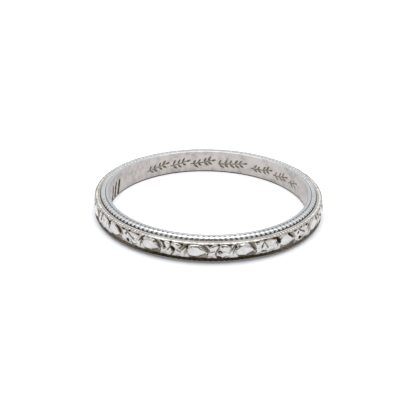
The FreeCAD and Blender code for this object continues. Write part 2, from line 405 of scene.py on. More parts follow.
FLOWER_LINES = [
    # the fine line under the border
    ([(-1.0, 0.69), (0.0, 0.67), (1.10, 0.69)], (0.045, 0.05), 0.07, 0.7),
    # the edges of the lower petals
    ([(-0.30, -0.52), (-0.58, -0.34), (-0.84, -0.26)], (0.06, 0.035), 0.07, 0.7),
    ([(0.36, -0.52), (0.60, -0.30), (0.86, -0.22)], (0.06, 0.035), 0.07, 0.7),
    # hatching between the flower and the next boss
    ([(1.02, 0.58), (0.92, 0.30), (0.78, 0.04)], (0.045, 0.03), 0.06, 0.6),
    ([(1.24, 0.60), (1.16, 0.40), (1.04, 0.20)], (0.045, 0.03), 0.06, 0.7),
]
CURLING_STEM = [(0.06, 0.62), (0.08, 0.34), (-0.40, 0.22), (-0.34, -0.24), (-0.10, -0.50)]
# The engraver cut the flowers' middles in four ways.
HEARTS = [
    # a curling stem with a hooked bud
    [
        (CURLING_STEM, (0.06, 0.065), 0.09, 0.72),
        ([(0.02, 0.06), (0.14, 0.22), (0.28, 0.02)], (0.085, 0.06), 0.12, 1.5),
        ([(-0.12, -0.36), (0.06, -0.32), (0.22, -0.46)], (0.12, 0.07), 0.12, 1.5),
    ],
    # two stamens that part below the dot
    [
        ([(-0.06, 0.56), (-0.16, 0.40), (-0.32, 0.10)], (0.05, 0.10), 0.10, 0.9),
        ([(-0.02, 0.54), (0.10, 0.30), (0.22, 0.04)], (0.045, 0.06), 0.09, 0.8),
        ([(-0.22, -0.30), (-0.04, -0.22), (0.14, -0.36)], (0.09, 0.06), 0.10, 0.8),
        ([(0.50, 0.56), (0.50, 0.40), (0.44, 0.22)], (0.05, 0.03), 0.06, 0.6),
    ],
    # a long slanting leaf and two beads
    [
        ([(-0.28, 0.62), (0.06, 0.40), (0.52, 0.10)], (0.07, 0.06), 0.10, 0.85),
        ([(-0.40, 0.38), (-0.38, 0.34), (-0.36, 0.30)], (0.12, 0.11), 0.12, 1.6),
        ([(-0.14, -0.16), (-0.10, -0.20), (-0.06, -0.24)], (0.14, 0.13), 0.13, 1.7),
        ([(0.24, -0.02), (0.34, -0.20), (0.38, -0.44)], (0.05, 0.04), 0.07, 0.7),
    ],
    # three leaning stamens, two of them ending in a deep drop
    [
        ([(-0.63, 0.62), (-0.56, 0.40), (-0.44, 0.18)], (0.06, 0.12), 0.13, 1.5),
        ([(0.03, 0.66), (0.02, 0.34), (-0.20, 0.0)], (0.055, 0.06), 0.09, 0.7),
        ([(0.10, 0.30), (0.18, 0.20), (0.26, 0.12)], (0.12, 0.15), 0.15, 1.7),
        ([(0.34, 0.08), (0.38, -0.14), (0.02, -0.44)], (0.05, 0.05), 0.08, 0.75),
        ([(0.74, 0.26), (0.90, 0.40), (1.22, 0.66)], (0.07, 0.06), 0.10, 0.85),
    ],
]


def almond_inside(across, up):
    """How far inside the almond's outline a point is, measured up and down. It points to +across."""
    share = np.clip((across - ALMOND_LEFT) / (ALMOND_RIGHT - ALMOND_LEFT), 0, 1)
    half = ALMOND_FULLNESS * share**0.5 * (1 - share) ** 0.75
    outside = np.clip(np.maximum(ALMOND_LEFT - across, across - ALMOND_RIGHT), 0, None)
    return half - np.abs(up) - outside


def cut_boss(face, middle, rng):
    """A flat almond, and a broad bright-cut facet that falls from its upper edge to the border."""
    x0, y0 = middle + rng.normal(0, 0.02), ALMOND_LIFT + rng.normal(0, 0.015)
    near = face.window([(x0 - BOSS_REACH, ORNAMENT_BOTTOM), (x0 + BOSS_REACH, ORNAMENT_TOP)])
    if near is None:
        return
    place, x, y = near
    x, y = x - x0, y - y0
    inside = almond_inside(x, y)
    level = BOSS_HEIGHT * np.clip(1 + inside / BOSS_SLOPE, 0, 1)
    facet = BOSS_HEIGHT - FACET_FALL * np.clip(-inside / FACET_RUN, 0, 1)
    stop = rng.uniform(*FACET_STOPS)
    ends = smooth((x - ALMOND_LEFT) / FACET_START) * smooth((stop - x) / FACET_END)
    faceted = ends * ((y > 0) & (inside < 0) & (inside > -FACET_RUN))
    face.raised[place] += level * (1 - faceted) + facet * faceted
    outline = np.clip(1 - np.abs(inside + BOSS_SLOPE) / OUTLINE_HALF, 0, 1)
    strength = np.where(y > 0, OUTLINE_ABOVE * (1 - faceted), OUTLINE_BELOW)
    face.height[place] = np.minimum(face.height[place], -OUTLINE_DEPTH * outline * strength)
    edge = FACET_EDGE_STAIN * faceted * np.clip(1 - np.abs(inside) / FACET_EDGE, 0, 1)
    face.recess[place] = np.maximum(face.recess[place], np.maximum(strength * outline, edge))


def raise_petals(face, middle, rng):
    """Four low pillows, and a pearl beside the stem."""
    left, right = middle - FLOWER_REACH, middle + FLOWER_REACH
    near = face.window([(left, ORNAMENT_BOTTOM), (right, ORNAMENT_TOP)])
    if near is None:
        return
    place, x, y = near
    pearl = np.hypot(x - middle - PEARL[0], y - PEARL[1]) / PEARL_RADIUS
    lift = PEARL_HEIGHT * np.sqrt(np.clip(1 - pearl**2, 0, 1))
    for across, up, tilt in PETALS:
        spin = math.radians(tilt + rng.normal(0, 4))
        dx, dy = x - middle - across - rng.normal(0, 0.02), y - up
        long_way = (dx * math.cos(spin) + dy * math.sin(spin)) / PETAL_HALF_LENGTH
        short_way = (-dx * math.sin(spin) + dy * math.cos(spin)) / PETAL_HALF_WIDTH
        lift = lift + PETAL_HEIGHT * np.sqrt(np.clip(1 - long_way**2 - short_way**2, 0, 1))
    face.raised[place] += lift


# how far a hand strays across and up, and how one cut differs from the next in size and stain
HAND_ACROSS = 0.03
HAND_UP = 0.02
SCOOP_STAINS = (0.6, 1.05)
SCOOP_DEPTHS = (0.8, 1.15)
LINE_WIDTHS = (0.75, 1.3)
LINE_STAINS = (0.45, 1.0)
LINE_DEPTHS = (0.8, 1.2)
# the face's unevenness: its height, its seed, and how many waves it has round the band and up
FACE_WAVES = ((0.012, 5, 220, 8), (0.008, 6, 520, 14))


def hand(rng, points, middle):
    """The points as a hand would place them."""
    return [
        (middle + x + rng.normal(0, HAND_ACROSS), y + rng.normal(0, HAND_UP)) for x, y in points
    ]


def engrave(face, middle, lines, scoops, rng):
    """Cut scoops, then lines, each a little apart in place, size, depth and darkness."""
    for corners, slope, depth, dark in scoops:
        shade = dark * rng.uniform(*SCOOP_STAINS)
        face.scoop(hand(rng, corners, middle), slope, depth * rng.uniform(*SCOOP_DEPTHS), shade)
    for points, widths, depth, dark in lines:
        wide = rng.uniform(*LINE_WIDTHS)
        sizes = (widths[0] * wide, widths[1] * wide)
        shade = dark * rng.uniform(*LINE_STAINS)
        face.line(hand(rng, points, middle), sizes, depth * rng.uniform(*LINE_DEPTHS), shade)


def drill_dots(face, boss, flower, rng):
    """A deep dot over each flower, a small one beside it, and one at the almond's round end."""
    over = (flower + rng.normal(0, 0.03), 0.75)
    face.dot(over, radius=rng.uniform(0.11, 0.14), depth=0.16, dark=2.2)
    beside = (flower - 0.88 + rng.normal(0, 0.05), -0.10)
    face.dot(beside, radius=0.07, depth=0.07, dark=1.2)
    behind = (boss - 0.72 + rng.normal(0, 0.05), rng.uniform(0.30, 0.5))
    face.dot(behind, radius=rng.uniform(0.04, 0.13), depth=0.12, dark=1.5)


def one_repeat(face, boss, number):
    """One boss and the flower after it."""
    rng = np.random.default_rng(100 + number)
    flower = boss + FLOWER_AT
    cut_boss(face, boss, rng)
    raise_petals(face, flower, rng)
    slashes = SLASHES if number in SLASHED else []
    engrave(face, boss, BOSS_LINES + slashes, BOSS_SCOOPS, rng)
    engrave(face, flower, FLOWER_LINES + HEARTS[number % len(HEARTS)], FLOWER_SCOOPS, rng)
    drill_dots(face, boss, flower, rng)


def belt_relief(angles, up):
    """The ornament over the belt's face, in millimetres, and its recess."""
    across = (angles - FIRST_BOSS) * BELT_R / MM
    face = Surface(across, up)
    first = math.floor(across[0] / PERIOD) - 1
    last = math.ceil(across[-1] / PERIOD) + 1
    for count in range(first, last + 1):
        one_repeat(face, count * PERIOD, count % REPEATS)
    relief = softened(face.raised + face.height)
    relief += sum(size * uneven(angles, up, *waves) for size, *waves in FACE_WAVES)
    return relief, softened(face.recess)


# ---- the belt ----

# how far out from the groove, and how far below the belt's top, each corner of the upper side lies
WORN_SHOULDER = [(0.0, 0.0), (0.22, 0.03), (0.31, 0.06), (0.42, 0.16)]
WHOLE_SHOULDER = [(0.0, 0.0), (0.26, 0.0), (0.39, 0.01), (0.47, 0.11)]
FACE_EDGE = 0.46
FACE_SINK = 0.05
FACE_REACH = 0.78
FACE_FADE = 0.08
SHOULDER_ROWS = 8
FACE_ROWS = 38
BELT_COLUMNS = 104

# the row of fine beads punched along each shoulder, which wear has rubbed away at the front
PUNCHES = 208
PUNCH_AT = 0.93
PUNCH_HALF = 0.14
PUNCH_DEPTH = 0.055
PUNCH_STAIN = 0.38
# a fine bead's size, the slope round it and the fade at its ends, as shares of its cell
PUNCH_BEAD = 0.5
PUNCH_SLOPE = 0.4
PUNCH_FADE = 0.35

# Below the face the belt is darkened with painted shade, for the shadow and dark reflections under
# its rounded lower side. Painted shade dims the shoulders' bright reflection too: on all of them, and
# in two soft lines at these distances from the belt's middle.
UNDERCUT = -0.44
UNDERCUT_BLUR = 0.10
# how dark the painted shade under the face is, and how much weaker it is on the band's sides than at
# its front
UNDERCUT_PAINTED_SHADE = 0.94
UNDERCUT_SHADE_SIDE_FADE = 0.22
SHOULDER_PAINTED_SHADE = 0.10
SHOULDER_SHADE_FADE = 0.1
SHOULDER_SHADE_LINES = ((0.70, 0.34), (0.88, 0.22))
SHOULDER_SHADE_BLUR = 0.08
# how much of the shoulders' painted shade there is, and the patches it lies in: their strength, seed
# and waves round and up
SHOULDER_SHADE_COVER = 0.45
SHOULDER_SHADE_PATCHES = ((0.7, 12, 300, 12), (0.7, 13, 47, 3))


def dome(shoulder):
    """The belt's plain outer curve from its lower edge to its upper: places, normals and arc length.
    A sloping shoulder rounds over into a cheek, and the face between the two cheeks is domed."""
    groove, middle, top = GROOVE_R / MM, MID / MM, BELT_TOP / MM
    crown = BELT_R / MM - BOSS_HEIGHT
    upper = [(groove + out, top - fall) for out, fall in shoulder]
    upper += [(crown - FACE_SINK, middle + FACE_EDGE), (crown, middle + FACE_EDGE / 2)]
    corners = np.array(upper[::-1])
    lower = np.stack([corners[::-1, 0], 2 * middle - corners[::-1, 1]], axis=-1)
    fine = rounded(np.concatenate([lower, corners]))
    lengths = lengths_along(fine)
    lengths -= lengths[-1] / 2
    outer = np.linspace(FACE_REACH, lengths[-1], SHOULDER_ROWS + 1)[1:]
    up = np.concatenate([-outer[::-1], np.linspace(-FACE_REACH, FACE_REACH, FACE_ROWS + 1), outer])
    places = points_at(fine, lengths, up)
    along = np.gradient(places, up, axis=0)
    normals = np.stack([along[:, 1], -along[:, 0]], axis=-1)
    normals /= np.linalg.norm(normals, axis=1, keepdims=True)
    return places, normals, up


def shoulder_pits(angles, up):
    """The hollows round the fine beads of both shoulders, from 0 to 1."""
    beat = (angles * PUNCHES / (2 * math.pi)) % 1 - 0.5
    row = (np.abs(up) - PUNCH_AT) / PUNCH_HALF
    away = np.hypot(2 * beat[:, None], row[None, :])
    ends = smooth((1.0 - np.abs(row)) / PUNCH_FADE)[None, :]
    return unworn(angles)[:, None] * smooth((away - PUNCH_BEAD) / PUNCH_SLOPE) * ends


def belt_stain_and_shade(angles, up, cuts, pits):
    """How dark each point is: the deepest of its cuts, its pits, the painted shade under its face and
    the painted shade on its shoulders.
    """
    # painted shade under the face, for the shadow and dark reflections under the belt's lower side
    darkening = UNDERCUT_PAINTED_SHADE * smooth((UNDERCUT - up) / UNDERCUT_BLUR + 0.5)[None, :]
    darkening = darkening * (1 - UNDERCUT_SHADE_SIDE_FADE * unworn(angles))[:, None]
    # painted shade that dims the shoulders' bright reflection, over the shoulders and in two soft
    # lines, broken into patches
    shoulder_shade = SHOULDER_PAINTED_SHADE * smooth((np.abs(up) - FACE_EDGE - SHOULDER_SHADE_FADE) / SHOULDER_SHADE_FADE)
    for place, strength in SHOULDER_SHADE_LINES:
        shoulder_shade += strength * np.exp(-(((np.abs(up) - place) / SHOULDER_SHADE_BLUR) ** 2))
    patches = (size * uneven(angles, up, *waves) for size, *waves in SHOULDER_SHADE_PATCHES)
    shoulder_shade = np.clip(sum(patches, start=SHOULDER_SHADE_COVER), 0, 1) * shoulder_shade
    return np.maximum.reduce([cuts, PUNCH_STAIN * pits, darkening, shoulder_shade])


def belt_sections(angles):
    worn_places, worn_normals, up = dome(WORN_SHOULDER)
    whole_places, whole_normals, _ = dome(WHOLE_SHOULDER)
    share = unworn(angles)[:, None, None]
    places = worn_places * (1 - share) + whole_places * share
    normals = worn_normals * (1 - share) + whole_normals * share
    relief, cuts = belt_relief(angles, up)
    fade = smooth((FACE_REACH + 0.02 - np.abs(up)) / FACE_FADE)[None, :]
    pits = shoulder_pits(angles, up)
    curve = places + normals * (relief * fade - PUNCH_DEPTH * pits)[..., None]
    curve[..., 0] = np.minimum(curve[..., 0], BELT_R / MM)
    curve[..., 1] = np.clip(curve[..., 1], (2 * MID - BELT_TOP) / MM, BELT_TOP / MM)
    upper = [(GROOVE_R, SEAT), (SLEEVE_R, SEAT)]
    lower = [(radius, 2 * MID - height) for radius, height in reversed(upper)]
    back = repeated(upper + lower, len(angles))
    sections = np.concatenate([curve * MM, back], axis=1)
    stain_and_shade = belt_stain_and_shade(angles, up, cuts * fade, pits)
    return sections, np.concatenate([stain_and_shade, np.ones(back.shape[:2])], axis=1)


def make_belt():
    seam = angle_of("belt_solder_seam")
    return hoop_and_seam("belt", seam, open_span(seam, REPEATS * BELT_COLUMNS), belt_sections)


# ---- the milgrain wires ----

BEADS = 135
BEAD_COLUMNS = 14
CREST_ROWS = 16
CORE_DEPTH = 0.15 * MM
# how far in from the wire's outer edge, and how far below its crest, its outer side's corners lie
FLAT_OUTSIDE = [(0.0, 0.32), (0.0, 0.10), (0.03, 0.0)]
WORN_OUTSIDE = [(0.03, 0.34), (0.08, 0.24), (0.18, 0.07)]
WHOLE_OUTSIDE = [(0.0, 0.34), (0.0, 0.15), (0.06, 0.01)]
# how far out from the inner edge, and how far below the crest, the inner side's corners lie
INSIDE = [(0.14, 0.0), (0.03, 0.0), (0.0, 0.05)]
# how much the wire narrows between two beads: everywhere, and more on its flanks
WAIST = 0.12
FLANK_WAIST = 0.34
# how dark the pits between the beads are: everywhere, on the flanks, and less inside the crest
PIT_STAIN = 0.08
FLANK_STAIN = 0.6
INSIDE_CREST = 0.4
# places along the wire's skin, from 0 at its outer foot to 1 at its inner foot
CREST_AT = 0.62
OUTER_STAIN_AND_SHADE = 0.48
INNER_STAIN = 0.66
# how much weaker the outer foot's darkening is on the sides, and how much darker it is on the lower
# wire, where it is painted contact shadow under the band
OUTER_SIDE_FADE = 0.7
LOWER_CONTACT_SHADE = 4.0


def crest_curve(outside):
    """The wire's plain skin from its outer foot over the crest to its inner foot."""
    top, inner, outer = BAND_TOP / MM, SLEEVE_R / MM, WIRE_R / MM
    corners = [(outer - back, top - fall) for back, fall in outside]
    corners += [(inner + out, top - fall) for out, fall in INSIDE]
    fine = rounded(np.array(corners))
    lengths = lengths_along(fine)
    along = np.linspace(0, lengths[-1], CREST_ROWS + 1)
    return points_at(fine, lengths, along) * MM, along / lengths[-1]


def wire_stain_and_shade(angles, share, flank, between, lower):
    """How dark the skin is: the pits between the beads, the outer foot and the inner foot. The outer
    foot's darkening is tarnish in the groove and partly painted shade, strongest at the front; on the
    lower wire it is mostly painted contact shadow.
    """
    pits = PIT_STAIN + FLANK_STAIN * flank * np.where(share > CREST_AT, INSIDE_CREST, 1.0)
    pits = between**1.3 * pits
    # the outer foot's darkening: tarnish in the groove and partly painted shade, weaker on the sides
    outer = smooth((OUTER_STAIN_AND_SHADE - share) / 0.14)[None, :] * (0.12 + 0.32 * between)
    outer = outer * (1 - OUTER_SIDE_FADE * unworn(angles))[:, None]
    inner = smooth((share - INNER_STAIN) / 0.15)[None, :] * 0.12
    return np.maximum(np.maximum(pits, outer * (LOWER_CONTACT_SHADE if lower else 1.0)), inner)


def wire_sections(angles, seam, lower):
    """A beaded wire, with a pit between each bead and the next on both flanks. The upper wire is
    worn to a slope at the front, and the lower one is flat where the band stands on it."""
    skin, share = crest_curve(FLAT_OUTSIDE if lower else WORN_OUTSIDE)
    whole_skin, _ = crest_curve(FLAT_OUTSIDE if lower else WHOLE_OUTSIDE)
    skin = skin + (whole_skin - skin) * unworn(angles)[:, None, None]
    core = np.array([(SLEEVE_R + WIRE_R) / 2, BAND_TOP - CORE_DEPTH])
    beat = ((angles - seam) / (2 * math.pi / BEADS) + 0.5) % 1 - 0.5
    between = np.clip((np.abs(2 * beat[:, None]) - 0.2) / 0.8, 0, 1)
    flank = smooth(np.abs(share - CREST_AT) / 0.4)[None, :]
    waist = between**1.6 * (WAIST + FLANK_WAIST * flank)
    crest = core + (skin - core) * (1 - waist)[..., None]
    foot = repeated([(SLEEVE_R, SEAT), (WIRE_R, SEAT)], len(angles))
    sections = np.concatenate([crest, foot], axis=1)
    stain_and_shade = wire_stain_and_shade(angles, share, flank, between, lower)
    recess = np.concatenate([stain_and_shade, np.ones(foot.shape[:2])], axis=1)
    if lower:
        return upside_down(sections), recess[:, ::-1]
    return sections, recess


def make_wire(side):
    seam = angle_of(side + "_wire_solder_seam")
    angles = open_span(seam, BEADS * BEAD_COLUMNS + 1)
    lower = side == "lower"
    return hoop_and_seam(side + "_wire", seam, angles, lambda span: wire_sections(span, seam, lower))


# ---- the runs of solder in the grooves ----

FILLET_COLUMNS = 720
FILLET_ROWS = 5
FILLET_DROP = 0.01 * MM
FILLET_SAG = 0.014 * MM
FILLET_SWELL = 0.0015 * MM
FILLET_WAVES = 6
# the fewest and the most times a wave may repeat round the band
WAVE_REPEATS = (5, 60)
FILLET_RECESS = 0.22


def fillet_swell(angles, seed):
    """Slow waves in the height of a run of solder."""
    rng = np.random.default_rng(seed)
    counts = rng.integers(*WAVE_REPEATS, FILLET_WAVES)
    waves = [(int(count), rng.uniform(0, 6.28)) for count in counts]
    return sum(np.sin(count * angles + phase) for count, phase in waves) * FILLET_SWELL


def make_fillet(side):
    """The run of solder in the groove, its surface sagging a little between its two walls."""
    angles = np.linspace(0, 2 * math.pi, FILLET_COLUMNS, endpoint=False)
    swell = fillet_swell(angles, 7 if side == "upper" else 8)
    across = np.linspace(GROOVE_R, WIRE_R, FILLET_ROWS)
    from_middle = (across - (WIRE_R + GROOVE_R) / 2) / (GROOVE_R - WIRE_R) * 2
    sag = FILLET_SAG * (1 - from_middle**2)
    top = np.minimum(FILLET_TOP - FILLET_DROP - sag[None, :] + swell[:, None], FILLET_TOP)
    skin = np.stack([np.broadcast_to(across, top.shape), top], axis=-1)
    foot = repeated([(WIRE_R, SEAT), (GROOVE_R, SEAT)], len(angles))
    sections = np.concatenate([skin, foot], axis=1)
    if side == "lower":
        sections = upside_down(sections)
    recess = np.full(sections.shape[:2], FILLET_RECESS)
    return hoop(side + "_fillet", angles, sections, recess, closed=True)


# ---- the sleeve, with sprays and a plain mark engraved round its bore ----

BEVEL = 0.045 * MM
CHAMFER = 0.02 * MM
EASING = 0.01 * MM
BORE_ROWS = 60
BORE_FADE = 0.12
# how dark the painted contact shadow on the sleeve's lower bevel and rim is
LOWER_EDGE_SHADE = 0.9
SLEEVE_COLUMNS = 480

SPRIG_FROM = math.radians(106)
SPRIG_TO = math.radians(222)
SPRIG_STEP = math.radians(0.15)
SPRAY_STEP = 0.46
LEAF_TILTS = (58, -30)
LEAF_DEPTH = 0.045
# each spray: how far round it lies in millimetres, its pairs of leaves, and how dark it is
SPRAYS = [
    (1.2, 4, 0.62),
    (3.5, 3, 0.62),
    (5.7, 4, 0.60),
    (8.6, 5, 0.56),
    (11.6, 4, 0.50),
    (13.9, 3, 0.44),
    (15.7, 2, 0.40),
]

STAMP_FROM = math.radians(246)
STAMP_TO = math.radians(262)
STAMP_STEP = math.radians(0.2)
STAMP_MIDDLE = (STAMP_TO - STAMP_FROM) * BORE_R / MM / 2
# how far along and up each bar of the mark is moved, and the lower and upper ends of its two parts
STAMP_BARS = ((-0.74, -0.04), (0.0, 0.03), (0.74, -0.02))
STAMP_PARTS = ((-0.74, -0.36), (-0.14, 0.26))
STAMP_LEAN = 1 / 3


def cut_sprigs(bore):
    """Laurel sprays: a stem with a pair of leaves at every joint and one at its tip."""
    rng = np.random.default_rng(31)
    for middle, pairs, weight in SPRAYS:
        reach = SPRAY_STEP / 2 * pairs
        tail, tip = (middle - reach - 0.20, -0.24), (middle + reach - 0.10, 0.06)
        stem = curve_points([tail, (middle, -0.20), tip])
        bore.line(stem, (0.05, 0.04), 0.05, 0.9 * weight)
        for number in range(pairs):
            root = stem[int((number + 0.4) / pairs * (len(stem) - 1))]
            for tilt in LEAF_TILTS:
                lean = math.radians(tilt + rng.uniform(-8, 8))
                size = rng.uniform(0.48, 0.70)
                centre = root + size * 0.54 * np.array([math.cos(lean), math.sin(lean)])
                bore.leaf(centre, size, rng.uniform(0.18, 0.25), lean, LEAF_DEPTH, weight)
        last = (tip[0] + 0.26, tip[1] + 0.06)
        bore.leaf(last, 0.52, 0.22, math.radians(16), LEAF_DEPTH, weight)


def cut_stamp(bore):
    """A plain struck mark: three broad slanting bars, each in two parts."""
    for step, height in STAMP_BARS:
        for foot, head in STAMP_PARTS:
            start = (STAMP_MIDDLE + step + foot * STAMP_LEAN, foot + height)
            end = (STAMP_MIDDLE + step + head * STAMP_LEAN, head + height)
            bore.line([start, end], (0.24, 0.19), 0.12, 1.0)


# where each engraving starts and stops, how fine its columns are, and what cuts it
BORE_ENGRAVINGS = (
    (SPRIG_FROM, SPRIG_TO, SPRIG_STEP, cut_sprigs),
    (STAMP_FROM, STAMP_TO, STAMP_STEP, cut_stamp),
)


def bore_relief(angles, up):
    """The engraving and the unevenness of the bore, in millimetres, and its recess."""
    relief = np.zeros((len(angles), len(up)))
    recess = np.zeros_like(relief)
    for start, stop, _, cut in BORE_ENGRAVINGS:
        place = (stop - angles) % (2 * math.pi)
        columns = np.nonzero(place <= stop - start)[0]
        if not len(columns):
            continue
        bore = Surface(place[columns] * BORE_R / MM, up)
        cut(bore)
        relief[columns] = bore.raised + bore.height
        recess[columns] = bore.recess
    relief += 0.004 * uneven(angles, up, 9, 160, 5)
    relief *= smooth((BORE_HALF / MM - np.abs(up)) / BORE_FADE)[None, :]
    return relief, recess


def sleeve_sections(angles):
    """Bore, bevels and rim lands. The bore runs downwards so that the loop stays anticlockwise."""
    heights = np.linspace(BAND_TOP - BEVEL, BEVEL, BORE_ROWS + 1)
    relief, recess = bore_relief(angles, (heights - MID) / MM)
    radius = BORE_R - relief * MM
    bore = np.stack([radius, np.broadcast_to(heights, radius.shape)], axis=-1)
    above = [
        (SLEEVE_R, BAND_TOP - CHAMFER),
        (SLEEVE_R - CHAMFER, BAND_TOP),
        (BORE_R + BEVEL + EASING, BAND_TOP),
        (BORE_R + BEVEL - EASING, BAND_TOP - EASING),
    ]
    below = [(radius, BAND_TOP - height) for radius, height in reversed(above)]
    columns = len(angles)
    sections = np.concatenate([repeated(above, columns), bore, repeated(below, columns)], axis=1)
    upper_edge = np.zeros((columns, len(above)))
    lower_edge = upper_edge.copy()
    # painted shade: the lower bevel and rim land, and the last rows of the bore above them, are
    # darkened for the contact shadow where the band stands
    lower_edge[:, :3] = LOWER_EDGE_SHADE
    recess[:, -3:] = LOWER_EDGE_SHADE * np.array([0.35, 0.8, 1.0])
    return sections, np.concatenate([upper_edge, recess, lower_edge], axis=1)


def sleeve_angles(seam):
    """Coarse columns where the bore is plain, and fine ones under its engravings."""
    coarse = open_span(seam, SLEEVE_COLUMNS)
    plain = np.ones(len(coarse), bool)
    fine = []
    for start, stop, step, _ in BORE_ENGRAVINGS:
        plain &= ((coarse - start) % (2 * math.pi)) > (stop - start)
        fine.append(np.arange(start, stop, step))
    plain[0] = plain[-1] = True
    turned = (np.concatenate(fine) - coarse[0]) % (2 * math.pi) + coarse[0]
    turned = turned[turned < coarse[-1]]
    return np.unique(np.concatenate([coarse[plain], turned]))


def make_sleeve():
    seam = angle_of("liner_solder_seam")
    return hoop_and_seam("sleeve", seam, sleeve_angles(seam), sleeve_sections)


# ---- materials ----

# how fine the clouds, patches and grime in the metals are, per metre
CLOUDS = 900.0
PATCHES = 2600.0
GRIME = 5200.0
# how far the clouds go from the first tone to the second
CLOUD_SPREAD = (-1.0, 4.2)
# how unevenly the cuts are filled
GRIME_SPREAD = (0.75, 1.45)
# the radii where the brighter rim of the bore starts and is full
RIM_FADE = (BORE_R + 0.02 * MM, BORE_R + 0.08 * MM)
# how much duller the metal gets in its cuts
CUT_DULLING = 0.25
# how much of the unevenness of the polish is brushing, and the rest of it clouds
BRUSHED_SHARE = 0.6


class Nodes:
    """A short way to wire a material's nodes."""

    def __init__(self, tree):
        self.tree = tree

    def add(self, kind, **settings):
        node = self.tree.nodes.new(kind)
        for name, value in settings.items():
            setattr(node, name, value)
        return node

    def link(self, source, target):
        self.tree.links.new(source, target)

    def math(self, operation, first, second=None, clamp=False):
        node = self.add("ShaderNodeMath", operation=operation, use_clamp=clamp)
        for socket, value in zip(node.inputs, (first, second)):
            if value is None:
                continue
            if isinstance(value, (int, float)):
                socket.default_value = value
            else:
                self.link(value, socket)
        return node.outputs[0]

    def mix(self, factor, low, high):
        node = self.add("ShaderNodeMix", data_type="RGBA")
        self.link(factor, node.inputs["Factor"])
        for name, value in (("A", low), ("B", high)):
            socket = next(s for s in node.inputs if s.name == name and s.type == "RGBA")
            if isinstance(value, tuple):
                socket.default_value = (*value, 1)
            else:
                self.link(value, socket)
        return next(s for s in node.outputs if s.type == "RGBA")

    def noise(self, vector, scale, detail, rough=0.55):
        node = self.add("ShaderNodeTexNoise")
        node.inputs["Scale"].default_value = scale
        node.inputs["Detail"].default_value = detail
        node.inputs["Roughness"].default_value = rough
        self.link(vector, node.inputs["Vector"])
        return node.outputs["Fac"]

    def spread(self, value, low, high):
        """A value from 0 to 1 turned into one from low to high."""
        node = self.add("ShaderNodeMapRange")
        node.inputs["To Min"].default_value = low
        node.inputs["To Max"].default_value = high
        self.link(value, node.inputs["Value"])
        return node.outputs[0]

    def step(self, value, start, end, shape="LINEAR"):
        """0 where a value is below start, 1 where it is beyond end, and a slope between."""
        node = self.add("ShaderNodeMapRange", interpolation_type=shape)
        node.inputs["From Min"].default_value = start
        node.inputs["From Max"].default_value = end
        self.link(value, node.inputs["Value"])
        return node.outputs[0]

    def parts(self, vector):
        node = self.add("ShaderNodeSeparateXYZ")
        self.link(vector, node.inputs[0])
        return node.outputs


def round_coordinates(nodes, position):
    """Distance round the band, radius and height, so that brushing can follow the hoop."""
    x, y, z = nodes.parts(position)
    angle = nodes.math("ARCTAN2", x, nodes.math("MULTIPLY", y, -1.0))
    squares = nodes.math("ADD", nodes.math("MULTIPLY", x, x), nodes.math("MULTIPLY", y, y))
    joined = nodes.add("ShaderNodeCombineXYZ")
    coordinates = (nodes.math("MULTIPLY", angle, BELT_R), nodes.math("SQRT", squares), z)
    for socket, value in zip(joined.inputs, coordinates):
        nodes.link(value, socket)
    return joined.outputs[0]


def cloudy_tone(nodes, position, around, clouds, tones):
    """The bare metal: two tones in soft patches, and a third one on the rim of the bore."""
    patches = nodes.noise(position, PATCHES, 3.0)
    cloud = nodes.spread(nodes.math("MULTIPLY", clouds, patches), *CLOUD_SPREAD)
    tone = nodes.mix(cloud, tones["clean"], tones["cloudy"])
    if "rim" not in tones:
        return tone
    beyond = nodes.step(nodes.parts(around)[1], *RIM_FADE)
    return nodes.mix(beyond, tone, tones["rim"])


def stained(nodes, position, tone, tones):
    """The metal's colour with stain and tarnish in its cuts and painted shade where the recess
    carries it, how deep they are, and how thick.
    """
    recess = nodes.add("ShaderNodeAttribute", attribute_name="recess").outputs["Fac"]
    darkening = nodes.spread(nodes.noise(position, GRIME, 3.0), *GRIME_SPREAD)
    depth = nodes.math("MULTIPLY", recess, darkening, clamp=True)
    thin = nodes.math("MULTIPLY", depth, 2.0, clamp=True)
    thick = nodes.math("SUBTRACT", nodes.math("MULTIPLY", depth, 2.0), 1.0, clamp=True)
    colour = nodes.mix(thick, nodes.mix(thin, tone, tones["stain_and_shade"]), tones["tarnish_and_shade"])
    return colour, depth, thick


